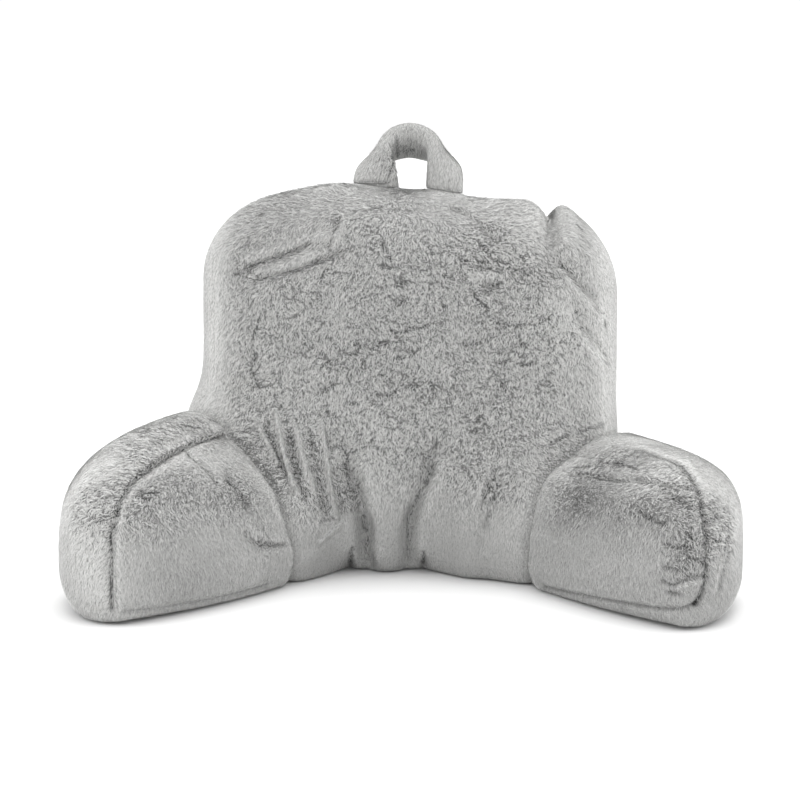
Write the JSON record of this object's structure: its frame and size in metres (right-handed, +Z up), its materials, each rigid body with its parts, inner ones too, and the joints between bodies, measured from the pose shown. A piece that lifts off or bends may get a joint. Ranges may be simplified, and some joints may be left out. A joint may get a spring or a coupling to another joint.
{
  "type": "reading pillow with arms",
  "caption": "Plush fur reading pillow: an upright filled backrest with splayed arms at its foot and a loop handle in its top seam.",
  "frame": {"origin": "middle of the whole object's box, at the surface that it stands on", "axes": "+Z up; -Y is the way the pillow faces, so a reader leans on its -Y side; +X is to the right as seen from the front"},
  "size_m": [0.7716, 0.4292, 0.5244],
  "materials": {
    "grey_fur": "soft short plush pile, brushed, matt with a pale sheen at grazing angles"
  },
  "bodies": {
    "root": {"backrest": "grey_fur", "arm_left": "grey_fur", "arm_right": "grey_fur", "carry_handle": "grey_fur"}
  },
  "joints": []
}
